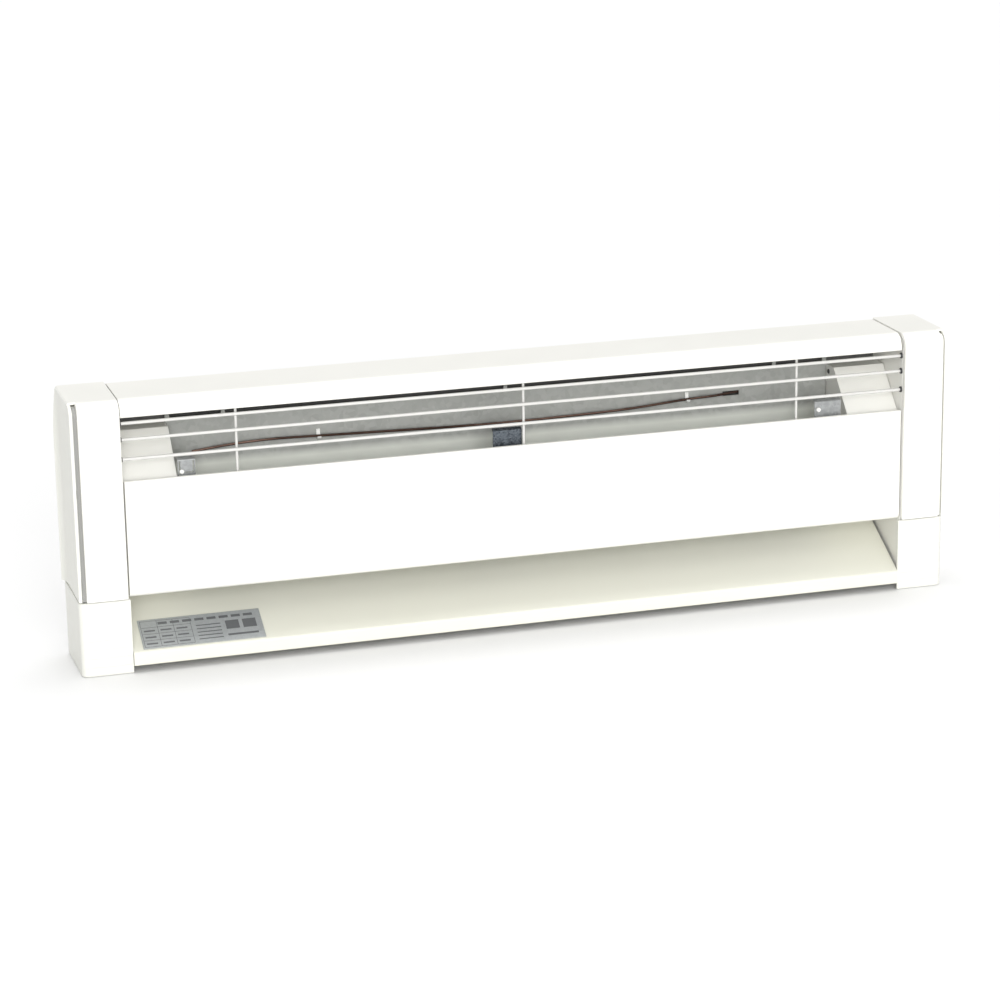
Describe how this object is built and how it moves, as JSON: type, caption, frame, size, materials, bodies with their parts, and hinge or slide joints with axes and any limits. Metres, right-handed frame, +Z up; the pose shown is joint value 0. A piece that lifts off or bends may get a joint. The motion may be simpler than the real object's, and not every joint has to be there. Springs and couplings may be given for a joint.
{
  "type": "baseboard heater",
  "caption": "Low electric baseboard heater with a finned liquid-filled element, rod grille, curled front panel, inclined air inlet pan, pull-off end caps and ribbed feet.",
  "frame": {"origin": "floor level, halfway along the heater and halfway through its depth", "axes": "+X along the heater, to the right as seen from the room; +Y towards the wall; +Z up"},
  "size_m": [0.711, 0.067, 0.213],
  "materials": {
    "painted_steel": "smooth satin off-white powder coat",
    "pan_paint": "satin beige-white powder coat",
    "painted_wire": "glossy white coating on steel wire",
    "moulded_trim": "off-white moulded plastic, fine grain",
    "galvanised_steel": "zinc-coated sheet with a faint spangle",
    "dark_steel": "blue-grey steel",
    "spring_steel": "bright spring steel",
    "bright_steel": "bright zinc plate",
    "aluminium_fins": "thin pressed aluminium",
    "copper": "copper, slightly tarnished",
    "brass": "turned brass",
    "ceramic": "unglazed white ceramic",
    "nylon": "natural nylon",
    "black_plastic": "black phenolic moulding",
    "red_plastic": "red moulded plastic",
    "wire_jacket": "black wire insulation",
    "green_screw": "green dyed steel screw",
    "foil_plate": "satin silver foil, blank"
  },
  "bodies": {
    "casing": {"back_panel": "painted_steel", "reflector": "galvanised_steel", "bottom_pan": "pan_paint", "rating_plate": "foil_plate", "ground_screw": "green_screw", "limit_capillary": "copper", "left_capillary_clip": "nylon", "right_capillary_clip": "nylon", "limit_switch": "black_plastic", "left_lead_wire": "wire_jacket", "right_lead_wire": "wire_jacket", "switch_lead_wire": "wire_jacket", "centre_bracket": "dark_steel", "centre_glide": "nylon", "centre_grille_wire": "painted_wire", "grille_rod_top": "painted_wire", "grille_rod_middle": "painted_wire", "grille_rod_bottom": "painted_wire", "left_end_plate": "painted_steel", "left_foot": "moulded_trim", "left_junction_box": "painted_steel", "left_junction_cover": "painted_steel", "left_cover_screw": "bright_steel", "left_knockout": "galvanised_steel", "left_cap_clip": "spring_steel", "left_wire_connector": "red_plastic", "left_bracket": "spring_steel", "left_glide": "nylon", "left_panel_pad": "nylon", "left_grille_wire": "painted_wire", "right_end_plate": "painted_steel", "right_foot": "moulded_trim", "right_junction_box": "painted_steel", "right_junction_cover": "painted_steel", "right_cover_screw": "bright_steel", "right_knockout": "galvanised_steel", "right_cap_clip": "spring_steel", "right_wire_connector": "red_plastic", "right_bracket": "spring_steel", "right_glide": "nylon", "right_panel_pad": "nylon", "right_grille_wire": "painted_wire"},
    "element": {"element_tube": "copper", "fin_pack": "aluminium_fins", "heater_rod": "bright_steel", "fill_plug": "brass", "left_end_plug": "brass", "right_end_plug": "brass", "left_terminal": "ceramic", "right_terminal": "ceramic"},
    "front_cover": {"front_panel": "painted_steel", "left_panel_clip": "spring_steel", "right_panel_clip": "spring_steel"},
    "left_end_cap": {"left_cap_band": "painted_steel", "left_cap_side": "moulded_trim"},
    "right_end_cap": {"right_cap_band": "painted_steel", "right_cap_side": "moulded_trim"}
  },
  "joints": [
    {"name": "left_end_cap_slide", "type": "slide", "parent": "casing", "child": "left_end_cap", "axis": [-1, 0, 0], "range_m": [0, 0.05]},
    {"name": "right_end_cap_slide", "type": "slide", "parent": "casing", "child": "right_end_cap", "axis": [1, 0, 0], "range_m": [0, 0.05]},
    {"name": "front_panel_hinge", "type": "hinge", "parent": "casing", "child": "front_cover", "pos_m": [0, -0.023, 0.0645], "axis": [1, 0, 0], "range_deg": [0, 30]},
    {"name": "element_expansion_slide", "type": "slide", "parent": "casing", "child": "element", "axis": [1, 0, 0], "range_m": [-0.0015, 0.0015]}
  ]
}
